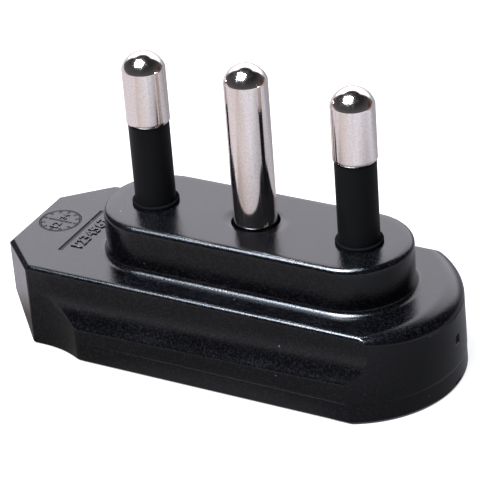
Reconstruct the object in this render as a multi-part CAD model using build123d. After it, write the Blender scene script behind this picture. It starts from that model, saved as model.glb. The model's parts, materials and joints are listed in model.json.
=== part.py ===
"""Flat three-pin mains plug: a low housing with a raised boss, three round pins and a neck for the cord.

The frame's origin is on the flat back face, under the earth pin's axis. +Z runs along the pins, towards
their tips, and +X runs along the row of pins, away from the neck that takes the cord. Lengths are in
millimetres.
"""

import math
import os

from build123d import *

# Pins. The row is spaced evenly, with the earth pin in the middle.
pin_pitch = 13.0
pin_diameter = 5.0
line_pin_reach = 19.0
earth_pin_reach = 19.6
core_diameter = 3.6
earth_root_diameter = 4.6
flange_diameter = 7.6
flange_thickness = 1.4
terminal_side = 6.0
terminal_corner = 0.5

# Insulating sleeves on the two outer pins, eased a little at their tips. Their reach is measured from the
# boss face.
sleeve_reach = 10.5
sleeve_diameter = 4.86
sleeve_tip_diameter = 4.8
sleeve_tip_length = 0.6
sleeve_gap = 0.05

# Heights of the moulded body.
body_height = 10.6
boss_height = 5.7
parting_height = 2.5

# Boss that carries the pins.
boss_half_width = 6.85
boss_end_margin = 6.05
boss_edge_bevel = 0.4
boss_foot_bevel = 0.45
pin_ring_diameter = 5.95
pin_ring_height = 0.45
pin_ring_bevel = 0.2
sleeve_hole_gap = 0.06
earth_hole_gap = 0.36

# Plan of the body. The wide part ends in a drafted arc, and the neck ends in half an octagon.
body_half_width = 11.85
flare_depth = 1.45
end_centre_inset = 1.3
end_shoulder = 1.0
end_draft = 0.5
neck_length = 11.35
neck_end_half_width = 5.5
neck_corner_run = 5.2
scoop_run = 5.7
scoop_end_inset = 0.75

# Section of the side walls. The wall flares outwards to a straight lip, which rises towards the round end.
flare_drop = 2.4
flare_radius = 5.9
flare_rise_angle = 1.2

# Rounded crown of the round end: its plan radius is larger than the end's, so it fades out at the corners.
crown_radius = 14.0
crown_round = 2.0
crown_proud = 0.02

# Edges. Large roundings are turned in short straight steps.
round_steps = 3
top_edge_round = 0.45
neck_edge_bevel = 0.5
back_edge_bevel = 0.3
neck_slant_run = 4.9
neck_slant_height = 3.5
seam_depth = 0.08
seam_width = 0.12

# Walls.
side_wall = 1.8
lip_wall = 1.85
roof_wall = 1.5
boss_wall = 1.6
boss_roof = 2.2
neck_end_wall = 5.4
cover_gap = 0.08
seam_x_inset = 1.3

# Lap rim that centres the rear cover inside the housing.
rim_height = 1.2
rim_wall = 1.2
ledge_height = 2.0

# Cord entry and the strap that holds the cord.
entry_radius = 3.5
entry_rise = 0.2
entry_flare = 0.5
strap_width = 4.0
strap_thickness = 0.7
strap_end_gap = 0.3
strap_lug_gap = 0.3
strap_head_gap = 0.5
strap_post_inset = 2.2
strap_post_width = 4.0
strap_seat_drop = 0.1
strap_trough_gap = 0.2

# Plate that keeps the pin flanges against the boss roof.
retainer_thickness = 1.5
retainer_gap = 0.1
terminal_gap = 0.1

# Fasteners. Threads are plain cylinders.
thread_gap = 0.02
cover_screw_diameter = 3.0
cover_screw_head = 5.6
cover_screw_head_height = 1.8
cover_screw_sink = 0.4
cover_screw_gap = 0.15
cover_screw_tip_gap = 0.2
cover_post_diameter = 5.4
insert_diameter = 4.0
insert_length = 2.4
insert_rib_width = 5.2
insert_rib_gap = 0.05
strap_screw_diameter = 2.2
strap_screw_head = 4.0
strap_screw_head_height = 1.6
strap_screw_length = 4.0
strap_hole_spare = 0.5
terminal_screw_diameter = 3.0
terminal_screw_head = 4.8
terminal_screw_head_height = 1.6
terminal_screw_stand_off = 0.6
terminal_screw_room = 0.9
driver_slot_width = 0.7
driver_slot_depth = 0.8

# Wire window through each terminal, and the saddle that the terminal screw presses on the wire.
window_width = 3.2
window_height = 3.3
window_floor = 2.0
saddle_thickness = 0.5
saddle_lift = 0.6
saddle_flange = 1.5
saddle_side_gap = 0.1

# Small marks on the round end: a moulding nick in the wall and a notch for lifting the cover off.
nick_width = 0.4
nick_height = 1.1
nick_depth = 0.35
nick_base = 4.7
nick_y = 1.6
notch_width = 1.4
notch_height = 0.6
notch_depth = 0.5

# How far a cut or a joined shape runs past the face that it meets, and how near an edge lies to its place.
spare = 1.0
near = 0.01

# Places that follow from the sizes above.
boss_face = body_height + boss_height
boss_half_length = pin_pitch + boss_end_margin
boss_ceiling = boss_face - boss_roof
roof = body_height - roof_wall
flange_base = boss_ceiling - flange_thickness
terminal_base = parting_height + terminal_screw_room + terminal_screw_head_height + terminal_screw_stand_off
retainer_base = flange_base - retainer_thickness
wall_half_width = body_half_width - flare_depth
end_centre_x = pin_pitch - end_centre_inset
end_radius_base = body_half_width + end_shoulder
end_radius_top = end_radius_base - end_draft
neck_end_x = -boss_half_length - neck_length
neck_corner_x = neck_end_x + neck_corner_run
scoop_end_x = -boss_half_length + scoop_end_inset
scoop_start_x = scoop_end_x - scoop_run
seam_x = -boss_half_length + seam_x_inset
end_wall_x = neck_end_x + neck_end_wall
entry_height = body_height / 2 + entry_rise
strap_x = end_wall_x + strap_end_gap + strap_width / 2
strap_post_offset = wall_half_width - side_wall - strap_post_inset
strap_radius = strap_post_offset - strap_screw_head / 2 - strap_head_gap - strap_thickness
strap_seat = entry_height - strap_seat_drop
window_base = terminal_base + window_floor
saddle_base = window_base + saddle_lift
cover_screw_xs = (-pin_pitch / 2, pin_pitch / 2)
cover_screw_seat = cover_screw_sink + cover_screw_head_height
far = 2 * (boss_half_length + neck_length)


def rod(diameter, low, high, x=0.0, y=0.0):
    """Upright cylinder between two heights."""
    return Pos(x, y, low) * Cylinder(diameter / 2, high - low, align=(Align.CENTER, Align.CENTER, Align.MIN))


def block(x_span, y_span, z_span):
    """Box given by its lowest and highest value along each axis."""
    spans = (x_span, y_span, z_span)
    size = [high - low for low, high in spans]
    middle = [(high + low) / 2 for low, high in spans]
    return Pos(*middle) * Box(*size)


def quarter_round(radius, x, z):
    """Points of a quarter circle about a centre, from its outermost point up to its highest one."""
    angles = [math.pi / 2 * step / round_steps for step in range(round_steps + 1)]
    return [(x + radius * math.cos(angle), z + radius * math.sin(angle)) for angle in angles]


def turned(outline, x):
    """Solid turned about an upright axis, from an outline of radius and height pairs."""
    return Pos(x, 0, 0) * revolve(Plane.XZ * make_face(Polyline(*outline, close=True)), Axis.Z)


def slot_prism(half_length, half_width, low, high):
    """Upright prism with two straight sides and two half-round ends."""
    return Pos(0, 0, low) * extrude(SlotOverall(2 * half_length, 2 * half_width), high - low)


def round_end_prism(half_width, end_radius, low, high):
    """Upright prism from the seam to an arc about the round end's centre."""
    corner_x = end_centre_x + math.sqrt(end_radius**2 - half_width**2)
    sides = Polyline(
        (corner_x, -half_width),
        (seam_x, -half_width),
        (seam_x, half_width),
        (corner_x, half_width),
    )
    arc = ThreePointArc((corner_x, half_width), (end_centre_x + end_radius, 0), (corner_x, -half_width))
    return Pos(0, 0, low) * extrude(make_face(sides + arc), high - low)


def plan_face():
    """Plan of the body at its widest, with the half-octagon neck and the two finger scoops."""
    wall = Polyline(
        (neck_end_x, 0),
        (neck_end_x, neck_end_half_width),
        (neck_corner_x, wall_half_width),
        (scoop_start_x, wall_half_width),
    )
    scoop = TangentArc(
        (scoop_start_x, wall_half_width),
        (scoop_end_x, body_half_width),
        tangent=(1, 0),
    )
    blank_x = end_centre_x + end_radius_base + spare
    lip = Polyline((scoop_end_x, body_half_width), (blank_x, body_half_width), (blank_x, 0))
    half = make_face(wall + scoop + lip + Line((blank_x, 0), (neck_end_x, 0)))
    return half + mirror(half, Plane.XZ)


def flare_cutter():
    """Space outside one side wall: an upright wall above a hollow quarter round, tilted along the body."""
    flare_top = body_height - flare_drop
    above = block((-far, far), (wall_half_width, far), (flare_top, far))
    hollow_y = wall_half_width + flare_radius
    hollow = Pos(0, hollow_y, flare_top) * Rot(0, 90, 0) * Cylinder(flare_radius, 2 * far)
    outside = block((-far, far), (hollow_y, far), (flare_top - flare_radius, far))
    pivot = Pos(scoop_end_x, 0, flare_top)
    return pivot * Rot(0, -flare_rise_angle, 0) * pivot.inverse() * (above + hollow + outside)


def crown_cutter():
    """Material taken off the round end's top edge, as a rounding turned about its own, flatter centre."""
    radius = crown_radius + crown_proud
    apex_x = end_centre_x + end_radius_top
    rounding = quarter_round(crown_round, radius - crown_round, body_height - crown_round)
    far_corner = (radius + crown_round, body_height + crown_round)
    outline = rounding + [(rounding[-1][0], far_corner[1]), far_corner, (far_corner[0], rounding[0][1])]
    ring = turned(outline, apex_x - crown_radius)
    return ring & block((end_centre_x, far), (-far, far), (0, far))


def outer_form():
    """Whole outside of the moulded body with its boss, as if it were solid."""
    body = extrude(plan_face(), body_height)
    flare = flare_cutter()
    body = body - flare - mirror(flare, Plane.XZ)

    top_edges = body.faces().sort_by(Axis.Z)[-1].edges()
    neck_edges = [e for e in top_edges if e.center().X < neck_corner_x]
    body = chamfer(neck_edges, neck_edge_bevel)
    top_edges = body.faces().sort_by(Axis.Z)[-1].edges()
    long_edges = [e for e in top_edges if abs(e.center().Y) > wall_half_width - near]
    body = fillet(long_edges, top_edge_round)

    end = Pos(end_centre_x, 0, 0) * Cone(
        end_radius_base, end_radius_top, body_height, align=(Align.CENTER, Align.CENTER, Align.MIN)
    )
    body = body & (end + block((-far, end_centre_x), (-far, far), (-spare, far)))
    body = body - crown_cutter()

    slant = Polyline(
        (neck_end_x, neck_slant_height),
        (neck_end_x + neck_slant_run, 0),
        (neck_end_x - spare, -spare),
        (neck_end_x - spare, neck_slant_height),
        close=True,
    )
    body = body - extrude(Plane.XZ * make_face(slant), far, both=True)
    back_edges = body.faces().sort_by(Axis.Z)[0].edges()
    body = chamfer(back_edges, back_edge_bevel)

    body = body + slot_prism(boss_half_length, boss_half_width, body_height - spare, boss_face)
    foot = [
        e
        for e in body.edges()
        if abs(e.center().Z - body_height) < near
        and abs(e.center().Y) < boss_half_width + near
        and abs(e.center().X) < boss_half_length + near
    ]
    body = chamfer(foot, boss_foot_bevel)
    return chamfer(body.faces().sort_by(Axis.Z)[-1].edges(), boss_edge_bevel)


def pin_xs():
    """The three pins' names and places along the row."""
    return {"line": -pin_pitch, "earth": 0.0, "neutral": pin_pitch}


def pin_ring(x):
    """Low bevelled ring moulded on the boss face around an outer pin."""
    ring = rod(pin_ring_diameter, boss_face - spare, boss_face + pin_ring_height, x)
    return chamfer(ring.edges().sort_by(Axis.Z)[-1], pin_ring_bevel)


def cavity():
    """Inside of the housing: wiring space, neck chamber and the hollow under the boss."""
    ledge = parting_height + ledge_height
    wide = round_end_prism(body_half_width - lip_wall, end_radius_top - lip_wall, -spare, ledge)
    neck_half_width = wall_half_width - side_wall
    narrow = round_end_prism(neck_half_width, end_radius_top - side_wall, -spare, roof)
    neck = block((end_wall_x, seam_x), (-neck_half_width, neck_half_width), (-spare, roof))
    under_boss = slot_prism(
        boss_half_length - boss_wall, boss_half_width - boss_wall, roof - spare, boss_ceiling
    )
    return wide + narrow + neck + under_boss


def cord_bore():
    """Round passage through the neck's end wall, eased at its mouth."""
    axis = Pos(neck_end_x, 0, entry_height) * Rot(0, 90, 0)
    passage = axis * Cylinder(entry_radius, 2 * (neck_end_wall + spare))
    mouth = axis * Cone(entry_radius + 2 * entry_flare, entry_radius, 2 * entry_flare)
    return passage + mouth


def housing():
    """Moulded body with the boss, the neck and the seats of everything inside it."""
    body = outer_form()
    for x in (-pin_pitch, pin_pitch):
        body = body + pin_ring(x)
    body = body - cavity() - cord_bore()
    body = body - block((seam_x, far), (-far, far), (-spare, parting_height))

    rib_end = flange_base + insert_rib_gap
    rib_half = boss_half_width - boss_wall + spare
    for x in cover_screw_xs:
        span = (x - insert_rib_width / 2, x + insert_rib_width / 2)
        body = body + block(span, (-rib_half, rib_half), (rib_end, boss_ceiling + spare))
        body = body - rod(insert_diameter + 2 * thread_gap, rib_end - spare, rib_end + insert_length, x)
    body = body + strap_post() + mirror(strap_post(), Plane.XZ)
    for y in (-strap_post_offset, strap_post_offset):
        hole = strap_screw_diameter + 2 * thread_gap
        hole_end = strap_seat + strap_screw_length + strap_hole_spare
        body = body - rod(hole, strap_seat - spare, hole_end, strap_x, y)

    for x in (-pin_pitch, pin_pitch):
        body = body - rod(sleeve_diameter + 2 * sleeve_hole_gap, boss_ceiling - spare, far, x)
    body = body - rod(pin_diameter + 2 * earth_hole_gap, boss_ceiling - spare, far)
    return body - seam_groove() - end_nick()


def strap_post():
    """Square post under the neck's roof, grown out of the side wall, that takes one screw of the strap."""
    half = strap_post_width / 2
    return block(
        (strap_x - half, strap_x + half),
        (strap_post_offset - half, wall_half_width - side_wall + spare),
        (strap_seat, roof + spare),
    )


def seam_groove():
    """Fine joint line round the housing's lower edge, where it meets the cover."""
    top = parting_height + seam_width
    drawn_in = (end_radius_base - end_radius_top) * top / body_height
    kept = round_end_prism(
        body_half_width - seam_depth, end_radius_base - drawn_in - seam_depth, parting_height - spare, top
    )
    return block((seam_x, far), (-far, far), (parting_height - spare, top)) - kept


def end_nick():
    """Narrow upright nick in the round end's wall."""
    wall_x = end_centre_x + end_radius_base - end_draft * nick_base / body_height
    return block(
        (wall_x - nick_depth, wall_x + spare),
        (nick_y - nick_width / 2, nick_y + nick_width / 2),
        (nick_base, nick_base + nick_height),
    )


def rear_cover():
    """Flat cover with a tongue under the neck, a lap rim, two screw posts and a trough for the cord."""
    neck_half_width = wall_half_width - side_wall - cover_gap
    cover = outer_form() & block((seam_x + cover_gap, far), (-far, far), (-spare, parting_height))
    tongue_xs = (end_wall_x + cover_gap, seam_x + spare)
    tongue = block(tongue_xs, (-neck_half_width, neck_half_width), (0, parting_height))
    cover = cover + tongue + lap_rim()
    for x in cover_screw_xs:
        cover = cover + rod(cover_post_diameter, parting_height - spare, retainer_base, x)
        cover = cover - rod(cover_screw_diameter + 2 * cover_screw_gap, -spare, far, x)
        cover = cover - rod(cover_screw_head + 2 * cover_screw_gap, -spare, cover_screw_seat, x)

    trough_end = -pin_pitch - terminal_side / 2
    trough_length = trough_end - end_wall_x
    trough_radius = strap_radius + strap_thickness + strap_trough_gap
    trough_middle = Pos(end_wall_x + trough_length / 2, 0, entry_height)
    trough = trough_middle * Rot(0, 90, 0) * Cylinder(trough_radius, trough_length)
    notch_x = end_centre_x + end_radius_base
    notch = block(
        (notch_x - back_edge_bevel - notch_depth, notch_x + spare),
        (-notch_width / 2, notch_width / 2),
        (-spare, notch_height),
    )
    return cover - trough - notch


def lap_rim():
    """Upright rim on the cover that fits just inside the housing's lower edge."""
    outer_half = body_half_width - lip_wall - cover_gap
    outer_radius = end_radius_top - lip_wall - cover_gap
    top = parting_height + rim_height
    base = parting_height - spare
    rim = round_end_prism(outer_half, outer_radius, base, top)
    inner = round_end_prism(outer_half - rim_wall, outer_radius - rim_wall, base, top)
    gate = block((-far, seam_x + rim_wall + spare), (-far, far), (0, far))
    return rim - inner - gate


def pin_retainer():
    """Flat plate, pierced for the three terminals and the two cover screws, under the pin flanges."""
    plate = slot_prism(
        boss_half_length - boss_wall - retainer_gap,
        boss_half_width - boss_wall - retainer_gap,
        retainer_base,
        flange_base,
    )
    for x in pin_xs().values():
        plate = plate - terminal_prism(x, terminal_gap, 0, far)
    for x in cover_screw_xs:
        plate = plate - rod(cover_screw_diameter + 2 * cover_screw_gap, 0, far, x)
    return plate


def domed_rod(diameter, low, tip, x):
    """Upright rod whose upper end is rounded like a half ball that ends at the tip."""
    radius = diameter / 2
    return turned([(0, low), (radius, low)] + quarter_round(radius, 0, tip - radius), x)


def terminal_prism(x, gap, low, high):
    """Upright square prism with bevelled corners, as large as a terminal block and a gap around it."""
    half = terminal_side / 2 + gap
    prism = block((x - half, x + half), (-half, half), (low, high))
    return chamfer(prism.edges().filter_by(Axis.Z), terminal_corner)


def terminal(x):
    """Square block under a pin, with a window for the wire and a threaded hole for its screw."""
    half = terminal_side / 2
    body = terminal_prism(x, 0, terminal_base, flange_base)
    window = block(
        (x - window_width / 2, x + window_width / 2),
        (-half - spare, half + spare),
        (window_base, window_base + window_height),
    )
    hole = rod(terminal_screw_diameter + 2 * thread_gap, terminal_base - spare, window_base + spare, x)
    return body - window - hole + rod(flange_diameter, flange_base, boss_ceiling, x)


def earth_pin():
    """Bare pin, full size from the boss face to its domed tip and slightly slimmer inside its hole."""
    root = rod(earth_root_diameter, boss_ceiling, boss_face)
    return terminal(0) + root + domed_rod(pin_diameter, boss_face, boss_face + earth_pin_reach, 0)


def sleeved_pin(x):
    """Outer pin, turned down under its sleeve, with a full-size bare contact and a domed tip."""
    contact_base = boss_face + sleeve_reach
    pin = terminal(x) + rod(core_diameter, boss_ceiling, contact_base, x)
    return pin + domed_rod(pin_diameter, contact_base, boss_face + line_pin_reach, x)


def sleeve(x):
    """Insulating tube between an outer pin's flange and its bare contact."""
    radius = sleeve_diameter / 2
    tip = boss_face + sleeve_reach
    side = [(radius, boss_ceiling), (radius, tip - sleeve_tip_length), (sleeve_tip_diameter / 2, tip)]
    tube = turned([(0, boss_ceiling)] + side + [(0, tip)], x)
    return tube - rod(core_diameter + 2 * sleeve_gap, 0, far, x)


def slotted_screw(diameter, head_diameter, head_height, seat, tip, x=0.0, y=0.0):
    """Cheese-head screw driven from below: head under the seat, shank up to the tip."""
    head_base = seat - head_height
    screw = rod(head_diameter, head_base, seat, x, y) + rod(diameter, seat, tip, x, y)
    driver_slot = block(
        (x - head_diameter, x + head_diameter),
        (y - driver_slot_width / 2, y + driver_slot_width / 2),
        (head_base - spare, head_base + driver_slot_depth),
    )
    return screw - driver_slot


def terminal_screw(x):
    """Screw that presses the wire saddle from the back of its terminal."""
    return slotted_screw(
        terminal_screw_diameter,
        terminal_screw_head,
        terminal_screw_head_height,
        terminal_base - terminal_screw_stand_off,
        saddle_base,
        x,
    )


def wire_saddle(x):
    """Bent plate in the terminal's window, with a short flange down each side of the block."""
    flange_y = terminal_side / 2 + saddle_side_gap
    outer_y = flange_y + saddle_thickness
    half_width = window_width / 2 - saddle_side_gap
    span = (x - half_width, x + half_width)
    top = saddle_base + saddle_thickness
    plate = block(span, (-outer_y, outer_y), (top - saddle_flange, top))
    return plate - block((x - far, x + far), (-flange_y, flange_y), (0, saddle_base))


def cord_strap():
    """Steel strap bent round the cord, with a flat screw lug on each side."""
    half = wall_half_width - side_wall - strap_lug_gap
    lug_low = strap_seat - strap_thickness
    below_seat = Pos(0, strap_seat - entry_height - far / 2) * Rectangle(far, far)
    saddle = Circle(strap_radius + strap_thickness) & below_seat
    lugs = Pos(0, lug_low + strap_thickness / 2 - entry_height) * Rectangle(2 * half, strap_thickness)
    section = saddle + lugs - Circle(strap_radius)
    section = Plane((strap_x, 0, entry_height), x_dir=(0, 1, 0), z_dir=(1, 0, 0)) * section
    strap = extrude(section, strap_width / 2, both=True)
    for y in (-strap_post_offset, strap_post_offset):
        strap = strap - rod(strap_screw_diameter + 2 * cover_screw_gap, 0, far, strap_x, y)
    return strap


def strap_screw(y):
    """Screw that draws one lug of the cord strap against its post."""
    return slotted_screw(
        strap_screw_diameter,
        strap_screw_head,
        strap_screw_head_height,
        strap_seat - strap_thickness,
        strap_seat + strap_screw_length,
        strap_x,
        y,
    )


def cover_insert(x):
    """Threaded brass bush in the boss roof that takes a cover screw."""
    low = flange_base + insert_rib_gap
    bush = rod(insert_diameter, low, low + insert_length, x)
    return bush - rod(cover_screw_diameter + 2 * thread_gap, 0, far, x)


def cover_screw(x):
    """Long screw that clamps the rear cover and the retainer to the housing."""
    tip = flange_base + insert_rib_gap + insert_length - cover_screw_tip_gap
    return slotted_screw(
        cover_screw_diameter, cover_screw_head, cover_screw_head_height, cover_screw_seat, tip, x
    )


def build():
    """All pieces by name."""
    pieces = {
        "housing": housing(),
        "rear_cover": rear_cover(),
        "pin_retainer": pin_retainer(),
        "line_pin": sleeved_pin(-pin_pitch),
        "neutral_pin": sleeved_pin(pin_pitch),
        "earth_pin": earth_pin(),
        "line_pin_sleeve": sleeve(-pin_pitch),
        "neutral_pin_sleeve": sleeve(pin_pitch),
        "cord_strap": cord_strap(),
        "strap_screw_front": strap_screw(-strap_post_offset),
        "strap_screw_rear": strap_screw(strap_post_offset),
    }
    for name, x in pin_xs().items():
        pieces[name + "_terminal_screw"] = terminal_screw(x)
        pieces[name + "_wire_saddle"] = wire_saddle(x)
    for side, x in zip(("neck_side", "end_side"), cover_screw_xs):
        pieces["cover_insert_" + side] = cover_insert(x)
        pieces["cover_screw_" + side] = cover_screw(x)
    return pieces


os.makedirs("parts", exist_ok=True)
for node, piece in build().items():
    export_step(piece, os.path.join("parts", node + ".step"))
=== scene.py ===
# %% [markdown]
# # A flat three-pin plug, from its measured frame to a photograph
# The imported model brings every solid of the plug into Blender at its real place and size, in metres. This
# lesson keeps those solids as the frame, gives them real materials, and swaps the few pieces that the eye
# reads most, the moulded body, the pins and their sleeves, for finer surfaces worked out with numpy.

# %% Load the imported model
import json
import math

import bpy
import numpy as np
from mathutils import Matrix

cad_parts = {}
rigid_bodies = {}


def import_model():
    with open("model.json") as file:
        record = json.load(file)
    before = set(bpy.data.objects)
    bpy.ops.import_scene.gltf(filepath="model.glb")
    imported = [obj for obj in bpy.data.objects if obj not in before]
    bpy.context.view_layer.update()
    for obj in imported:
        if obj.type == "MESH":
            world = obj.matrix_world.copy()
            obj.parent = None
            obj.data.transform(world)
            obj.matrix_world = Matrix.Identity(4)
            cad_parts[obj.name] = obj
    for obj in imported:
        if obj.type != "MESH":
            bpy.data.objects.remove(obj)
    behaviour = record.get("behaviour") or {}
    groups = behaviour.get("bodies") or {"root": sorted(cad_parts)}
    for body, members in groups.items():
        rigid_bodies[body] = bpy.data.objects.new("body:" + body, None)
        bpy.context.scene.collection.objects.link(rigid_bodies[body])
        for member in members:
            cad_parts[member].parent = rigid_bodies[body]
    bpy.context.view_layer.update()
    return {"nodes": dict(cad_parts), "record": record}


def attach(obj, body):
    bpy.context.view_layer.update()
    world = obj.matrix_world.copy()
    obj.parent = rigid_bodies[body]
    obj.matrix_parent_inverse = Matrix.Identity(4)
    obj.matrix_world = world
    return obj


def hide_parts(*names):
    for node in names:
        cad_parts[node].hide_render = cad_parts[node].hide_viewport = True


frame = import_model()
mm = 0.001

# %% [markdown]
# ## From rings of points to a closed piece
# A turned pin and a moulded body have one thing in common: both are stacks of closed rings. A grid with one
# row for each ring and one column for each place around it holds them all, so one small helper can join the
# rows with four-sided faces and close both ends with a flat cap. Rings run anticlockwise seen from above
# and the rows climb on the outside, which makes every face look outwards.

# %% Faces of a stack of rings
def ring_quads(index):
    """Joins each numbered point to its right-hand neighbour and the ring above, and the last to the first."""
    right = np.roll(index, -1, axis=1)
    return np.stack([index[:-1], right[:-1], right[1:], index[1:]], axis=-1).reshape(-1, 4)


def in_scene(name, data):
    """Puts a mesh, a curve, a light or a camera in the scene as an object."""
    thing = bpy.data.objects.new(name, data)
    bpy.context.scene.collection.objects.link(thing)
    return thing


def add_piece(name, mesh):
    """Adds a finished mesh as a piece that rides on the plug's one body, under the given name."""
    piece = in_scene(name, mesh)
    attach(piece, "root")
    return piece


def make_piece(name, points, faces):
    """Turns an array of points in millimetres and a list of faces into a smooth piece."""
    mesh = bpy.data.meshes.new(name)
    mesh.from_pydata((points * mm).tolist(), [], faces)
    mesh.polygons.foreach_set("use_smooth", np.ones(len(mesh.polygons), bool))
    mesh.update()
    return add_piece(name, mesh)


def stack_rings(name, rings):
    """Makes a closed piece from rings of shape (rows, columns, 3), with a flat cap on both ends."""
    rows, columns = rings.shape[:2]
    index = np.arange(rows * columns).reshape(rows, columns)
    faces = ring_quads(index).tolist() + [index[0, ::-1].tolist(), index[-1].tolist()]
    print(name, rows, "rings of", columns, "points,", len(faces), "faces")
    return make_piece(name, rings.reshape(-1, 3), faces)


# %% [markdown]
# ## The side walls
# Seen from above, the body is half an octagon at the cord's end, two straight sides and an arc. Its walls
# are not upright all the way: below a straight top part they flare outwards along a quarter circle and end
# in a straight lip. A function of the place x along the body and of the height z gives the half width, and
# the smaller of two half widths wins wherever two shapes cut into each other, as in the finger scoops. The
# arc at the round end leans in a little towards the top at its corners, and hardly at its middle.

# %% Sizes of the body, in millimetres
body_top = 10.6
boss_face = 16.3
wall_half = 10.4
lip_half = 11.85
neck_end = -30.4
neck_corner = -25.2
neck_end_half = 5.5
scoop_start, scoop_end = -24.0, -18.3
scoop_ease = 0.12
seam_x = -17.75
# Where the straight sides end, near enough for their half width there.
side_end = 17.5
# Height of the joint with the rear cover.
parting = 2.5
flare_radius = 5.9
flare_top = 8.2
flare_slope = math.tan(math.radians(1.2))
flare_reach = lip_half - wall_half
scoop_run = scoop_end - scoop_start
scoop_radius = (scoop_run**2 / flare_reach + flare_reach) / 2
end_centre = 11.7
end_radius_base, end_radius_top = 12.85, 12.35
end_bulge = 0.37
slant_run, slant_height = 4.9, 3.5
# A hair's width, which keeps two places from falling together.
hair = 0.01


# %% Half width of the body at a place along it and a height
def soft_min(a, b, blend):
    """The smaller of two values, with the corner between them eased over the blend distance."""
    gap = np.clip(0.5 + 0.5 * (b - a) / blend, 0, 1)
    return b + (a - b) * gap - blend * gap * (1 - gap)


def flare_start(x):
    """Height where the wall starts to flare: it rises slowly towards the round end."""
    return flare_top + (x - scoop_end) * flare_slope


def lip_start(x):
    """Height where the flare's circle reaches the straight lip, below the flare's start."""
    return flare_start(x) - math.sqrt(flare_radius**2 - (flare_radius - flare_reach) ** 2)


def half_width(x, z):
    """Smaller of the plan's half width (with the scoop's arc) and the flare's (a circle centred outside)."""
    run = np.clip(x - scoop_start, 0, scoop_run)
    plan = wall_half + scoop_radius - np.sqrt(scoop_radius**2 - run**2)
    drop = np.clip(flare_start(x) - z, 0, flare_radius)
    flare = np.minimum(wall_half + flare_radius - np.sqrt(flare_radius**2 - drop**2), lip_half)
    return soft_min(plan, flare, scoop_ease)


print("half width at the middle, z = 0, 6, 9 mm:", np.round(half_width(0.0, np.array([0.0, 6.0, 9.0])), 2))

# %% [markdown]
# ## One loop around the body
# Every ring needs the same number of points, placed so that each corner keeps its own column. Half a loop
# is built segment by segment, from the middle of the cord's end, along the front, to the tip of the round
# end, and then mirrored. Points crowd towards the corner between the straight side and the arc, where the
# light changes fastest.

# %% Columns of half a loop
crowding = 1.5
end_share = np.linspace(0, 1, 25)
slant_share = np.linspace(0, 1, 27)[1:]
neck_x = np.linspace(neck_corner, scoop_start, 6)[1:]
scoop_x = np.linspace(scoop_start, seam_x - hair, 28)[1:]
near_neck_x = np.concatenate([neck_x, scoop_x])
side_share = 1 - (1 - np.linspace(0, 1, 111)) ** crowding
arc_share = np.linspace(0, 1, 63)[1:] ** crowding
parts = (end_share, slant_share, near_neck_x, side_share, arc_share)
segment = np.repeat(np.arange(len(parts)), [len(part) for part in parts])
on_end, on_slant, on_neck, on_side, on_arc = (segment == number for number in range(len(parts)))
wide = on_side | on_arc
half_columns = len(segment)
print("columns around the body:", 2 * half_columns - 2)


def end_radius(z):
    """Radius of the round end's wall, which shrinks evenly from the back face to the top."""
    return end_radius_base - (end_radius_base - end_radius_top) * z / body_top


def end_swell(y, half, z):
    """How far the round end stands out past its arc: most at its middle and top, nothing at its corners."""
    return end_bulge * z / body_top * np.clip(1 - (y / half) ** 2, 0, 1)


def half_loop(z):
    """Points of half a loop at heights z: straight pieces by their share, then the arc by its angle."""
    x, y = np.zeros_like(z), np.zeros_like(z)
    x[..., on_end], y[..., on_end] = neck_end, -neck_end_half * end_share
    x[..., on_slant] = neck_end + (neck_corner - neck_end) * slant_share
    y[..., on_slant] = -(neck_end_half + (wall_half - neck_end_half) * slant_share)
    x[..., on_neck], y[..., on_neck] = near_neck_x, -half_width(near_neck_x, z[..., on_neck])
    z_side, z_arc = z[..., on_side], z[..., on_arc]
    corner_x = end_centre + np.sqrt(end_radius(z_side) ** 2 - half_width(side_end, z_side) ** 2)
    x[..., on_side] = seam_x + hair + (corner_x - seam_x - hair) * side_share
    y[..., on_side] = -half_width(x[..., on_side], z_side)
    radius, corner_y = end_radius(z_arc), half_width(side_end, z_arc)
    angle = -np.arcsin(corner_y / radius) * (1 - arc_share)
    y[..., on_arc] = radius * np.sin(angle)
    x[..., on_arc] = end_centre + radius * np.cos(angle) + end_swell(y[..., on_arc], corner_y, z_arc)
    return np.stack([x, y], axis=-1)


def full_loop(half):
    """Mirrors half loops across the middle, without doubling the two points that lie on it."""
    back = half[..., -2:0:-1, :].copy()
    back[..., 1] *= -1
    return np.concatenate([half, back], axis=-2)


def at_height(loop, z):
    """Adds a height, or one height for each point, to a loop."""
    return np.concatenate([loop, np.broadcast_to(z, loop.shape[:-1])[..., None]], axis=-1)


# %% [markdown]
# ## The top and its roundings
# The top is a flat plane cut down near its edges: a small rounding along the sides, a bevel round the neck,
# and a large crown over the round end. The crown begins on a circle about a flatter centre than the wall's,
# so its run narrows towards the corners. It falls along a quarter ellipse that ends square on the wall, and
# the ellipse's drop shrinks with the square of its run. The height of the top is the lowest of those cuts.

# %% Height of the top surface
side_round, neck_bevel = 0.55, 0.5
crown_radius, crown_run, crown_drop = 14.5, 2.4, 2.0
crown_run_least = 0.3
crown_centre = end_centre + end_radius_top + end_bulge - crown_radius
slant_normal = np.array([wall_half - neck_end_half, neck_corner - neck_end])
slant_normal = slant_normal / np.hypot(*slant_normal)


def rounded_drop(distance, radius):
    """How far a quarter circle lies below the plane, at a distance in from the edge."""
    inside = np.clip(radius - distance, 0, radius)
    return radius - np.sqrt(radius**2 - inside**2)


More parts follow.
